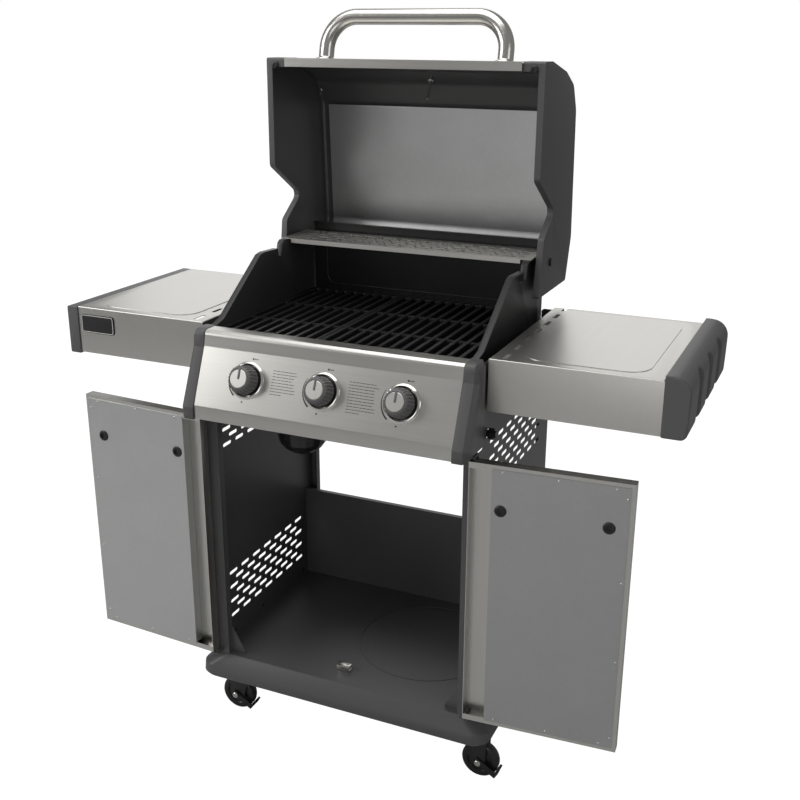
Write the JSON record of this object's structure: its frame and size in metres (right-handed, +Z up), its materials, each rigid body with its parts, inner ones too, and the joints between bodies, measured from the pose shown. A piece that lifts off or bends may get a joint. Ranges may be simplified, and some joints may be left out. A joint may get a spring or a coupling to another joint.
{
  "type": "gas barbecue grill",
  "caption": "Gas barbecue on a cabinet cart with casters: hinged lid, warming rack, cast grates, sloping panel of push-and-turn knobs, side shelves and open cabinet doors.",
  "frame": {"origin": "on the floor, under the centre of the bounding box at rest (lid and both doors open)", "axes": "+X towards the shelf with the grooved end, at the viewer's right when facing the knobs; +Y from the knobs towards the rear of the firebox; +Z up from the floor to the lid handle"},
  "size_m": [1.2184, 0.5922, 1.4267],
  "materials": {
    "black_enamel": "black enamel",
    "black_plastic": "black plastic",
    "brass": "brass",
    "cast_iron": "black enamelled cast iron",
    "galvanised": "galvanised sheet steel",
    "grey_paint": "satin dark grey powder coat",
    "grey_plastic": "fine-grained dark grey plastic",
    "polished_tube": "fine-ground stainless tube",
    "stainless": "brushed stainless steel"
  },
  "bodies": {
    "cart": {"back_panel": "grey_paint", "badge_plate": "black_plastic", "base_tray": "grey_paint", "centre_burner": "stainless", "centre_flame_tamer": "black_enamel", "control_panel": "stainless", "door_catch": "stainless", "firebox_bowl": "black_enamel", "gas_manifold": "black_enamel", "left_burner": "stainless", "left_firebox_side": "black_enamel", "left_flame_tamer": "black_enamel", "left_panel_cap": "grey_plastic", "left_pivot_bolt": "black_enamel", "left_shelf": "stainless", "left_shelf_cap": "grey_plastic", "left_side_panel": "grey_paint", "right_burner": "stainless", "right_firebox_side": "black_enamel", "right_flame_tamer": "black_enamel", "right_panel_cap": "grey_plastic", "right_pivot_bolt": "black_enamel", "right_shelf": "stainless", "right_shelf_cap": "grey_plastic", "right_side_panel": "grey_paint"},
    "lid": {"left_lid_cap": "grey_paint", "right_lid_cap": "grey_paint", "lid_skin": "stainless", "lid_inner_panel": "grey_paint", "lid_heat_shield": "galvanised", "lid_trim": "stainless", "lid_handle": "polished_tube", "thermometer": "stainless"},
    "left_door": {"left_door_skin": "stainless", "left_door_liner": "galvanised", "left_door_handle": "polished_tube"},
    "right_door": {"right_door_skin": "stainless", "right_door_liner": "galvanised", "right_door_handle": "polished_tube"},
    "left_valve_stem": {"left_valve_stem": "brass"},
    "left_knob": {"left_knob": "grey_plastic"},
    "centre_valve_stem": {"centre_valve_stem": "brass"},
    "centre_knob": {"centre_knob": "grey_plastic"},
    "right_valve_stem": {"right_valve_stem": "brass"},
    "right_knob": {"right_knob": "grey_plastic"},
    "front_left_caster_fork": {"front_left_caster_fork": "black_plastic"},
    "front_left_caster_wheel": {"front_left_caster_wheel": "black_plastic"},
    "front_right_caster_fork": {"front_right_caster_fork": "black_plastic"},
    "front_right_caster_wheel": {"front_right_caster_wheel": "black_plastic"},
    "rear_left_caster_fork": {"rear_left_caster_fork": "black_plastic"},
    "rear_left_caster_wheel": {"rear_left_caster_wheel": "black_plastic"},
    "rear_right_caster_fork": {"rear_right_caster_fork": "black_plastic"},
    "rear_right_caster_wheel": {"rear_right_caster_wheel": "black_plastic"},
    "front_left_brake_lever": {"front_left_brake_lever": "black_plastic"},
    "front_right_brake_lever": {"front_right_brake_lever": "black_plastic"},
    "grease_tray": {"grease_tray": "galvanised"},
    "grease_cup": {"grease_cup": "black_enamel"},
    "left_grate": {"left_grate": "cast_iron"},
    "right_grate": {"right_grate": "cast_iron"},
    "warming_rack": {"warming_rack": "stainless"}
  },
  "joints": [
    {"name": "lid_hinge", "type": "hinge", "parent": "cart", "child": "lid", "pos_m": [-0.0095, 0.15075, 0.968], "axis": [1, 0, 0], "range_deg": [0, 90]},
    {"name": "left_door_hinge", "type": "hinge", "parent": "cart", "child": "left_door", "pos_m": [-0.2853, -0.23175, 0.445], "axis": [0, 0, 1], "range_deg": [0, 183.5]},
    {"name": "right_door_hinge", "type": "hinge", "parent": "cart", "child": "right_door", "pos_m": [0.2663, -0.23175, 0.445], "axis": [0, 0, 1], "range_deg": [-183.5, 0]},
    {"name": "left_valve_push", "type": "slide", "parent": "cart", "child": "left_valve_stem", "axis": [0, 0.9198, -0.3923], "range_m": [0, 0.004], "stiffness_N_per_m": 1500, "springref_m": -0.002},
    {"name": "left_knob_turn", "type": "hinge", "parent": "left_valve_stem", "child": "left_knob", "pos_m": [-0.1615, -0.25895, 0.79063], "axis": [0, -0.9198, 0.3923], "range_deg": [0, 210]},
    {"name": "centre_valve_push", "type": "slide", "parent": "cart", "child": "centre_valve_stem", "axis": [0, 0.9198, -0.3923], "range_m": [0, 0.004], "stiffness_N_per_m": 1500, "springref_m": -0.002},
    {"name": "centre_knob_turn", "type": "hinge", "parent": "centre_valve_stem", "child": "centre_knob", "pos_m": [-0.0095, -0.25895, 0.79063], "axis": [0, -0.9198, 0.3923], "range_deg": [0, 210]},
    {"name": "right_valve_push", "type": "slide", "parent": "cart", "child": "right_valve_stem", "axis": [0, 0.9198, -0.3923], "range_m": [0, 0.004], "stiffness_N_per_m": 1500, "springref_m": -0.002},
    {"name": "right_knob_turn", "type": "hinge", "parent": "right_valve_stem", "child": "right_knob", "pos_m": [0.1425, -0.25895, 0.79063], "axis": [0, -0.9198, 0.3923], "range_deg": [0, 210]},
    {"name": "front_left_caster_swivel", "type": "hinge", "parent": "cart", "child": "front_left_caster_fork", "pos_m": [-0.2641, -0.14425, 0.12], "axis": [0, 0, 1], "continuous": true},
    {"name": "front_left_caster_roll", "type": "hinge", "parent": "front_left_caster_fork", "child": "front_left_caster_wheel", "pos_m": [-0.2851, -0.14425, 0.0375], "axis": [0, 1, 0], "continuous": true},
    {"name": "front_left_brake", "type": "hinge", "parent": "front_left_caster_fork", "child": "front_left_brake_lever", "pos_m": [-0.2851, -0.14425, 0.0375], "axis": [0, 1, 0], "range_deg": [-18, 0]},
    {"name": "front_right_caster_swivel", "type": "hinge", "parent": "cart", "child": "front_right_caster_fork", "pos_m": [0.2451, -0.14425, 0.12], "axis": [0, 0, 1], "continuous": true},
    {"name": "front_right_caster_roll", "type": "hinge", "parent": "front_right_caster_fork", "child": "front_right_caster_wheel", "pos_m": [0.2661, -0.14425, 0.0375], "axis": [0, 1, 0], "continuous": true},
    {"name": "front_right_brake", "type": "hinge", "parent": "front_right_caster_fork", "child": "front_right_brake_lever", "pos_m": [0.2661, -0.14425, 0.0375], "axis": [0, 1, 0], "range_deg": [-18, 0]},
    {"name": "rear_left_caster_swivel", "type": "hinge", "parent": "cart", "child": "rear_left_caster_fork", "pos_m": [-0.2641, 0.13575, 0.12], "axis": [0, 0, 1], "continuous": true},
    {"name": "rear_left_caster_roll", "type": "hinge", "parent": "rear_left_caster_fork", "child": "rear_left_caster_wheel", "pos_m": [-0.2851, 0.13575, 0.0375], "axis": [0, 1, 0], "continuous": true},
    {"name": "rear_right_caster_swivel", "type": "hinge", "parent": "cart", "child": "rear_right_caster_fork", "pos_m": [0.2451, 0.13575, 0.12], "axis": [0, 0, 1], "continuous": true},
    {"name": "rear_right_caster_roll", "type": "hinge", "parent": "rear_right_caster_fork", "child": "rear_right_caster_wheel", "pos_m": [0.2661, 0.13575, 0.0375], "axis": [0, 1, 0], "continuous": true},
    {"name": "grease_tray_slide", "type": "slide", "parent": "cart", "child": "grease_tray", "axis": [0, 1, 0], "range_m": [0, 0.3]},
    {"name": "grease_cup_slide", "type": "slide", "parent": "grease_tray", "child": "grease_cup", "axis": [0, -1, 0], "range_m": [0, 0.085]},
    {"name": "left_grate_lift", "type": "slide", "parent": "cart", "child": "left_grate", "axis": [0, 0, 1], "range_m": [0, 0.06]},
    {"name": "right_grate_lift", "type": "slide", "parent": "cart", "child": "right_grate", "axis": [0, 0, 1], "range_m": [0, 0.06]},
    {"name": "warming_rack_lift", "type": "slide", "parent": "cart", "child": "warming_rack", "axis": [0, 0, 1], "range_m": [0, 0.02]}
  ]
}
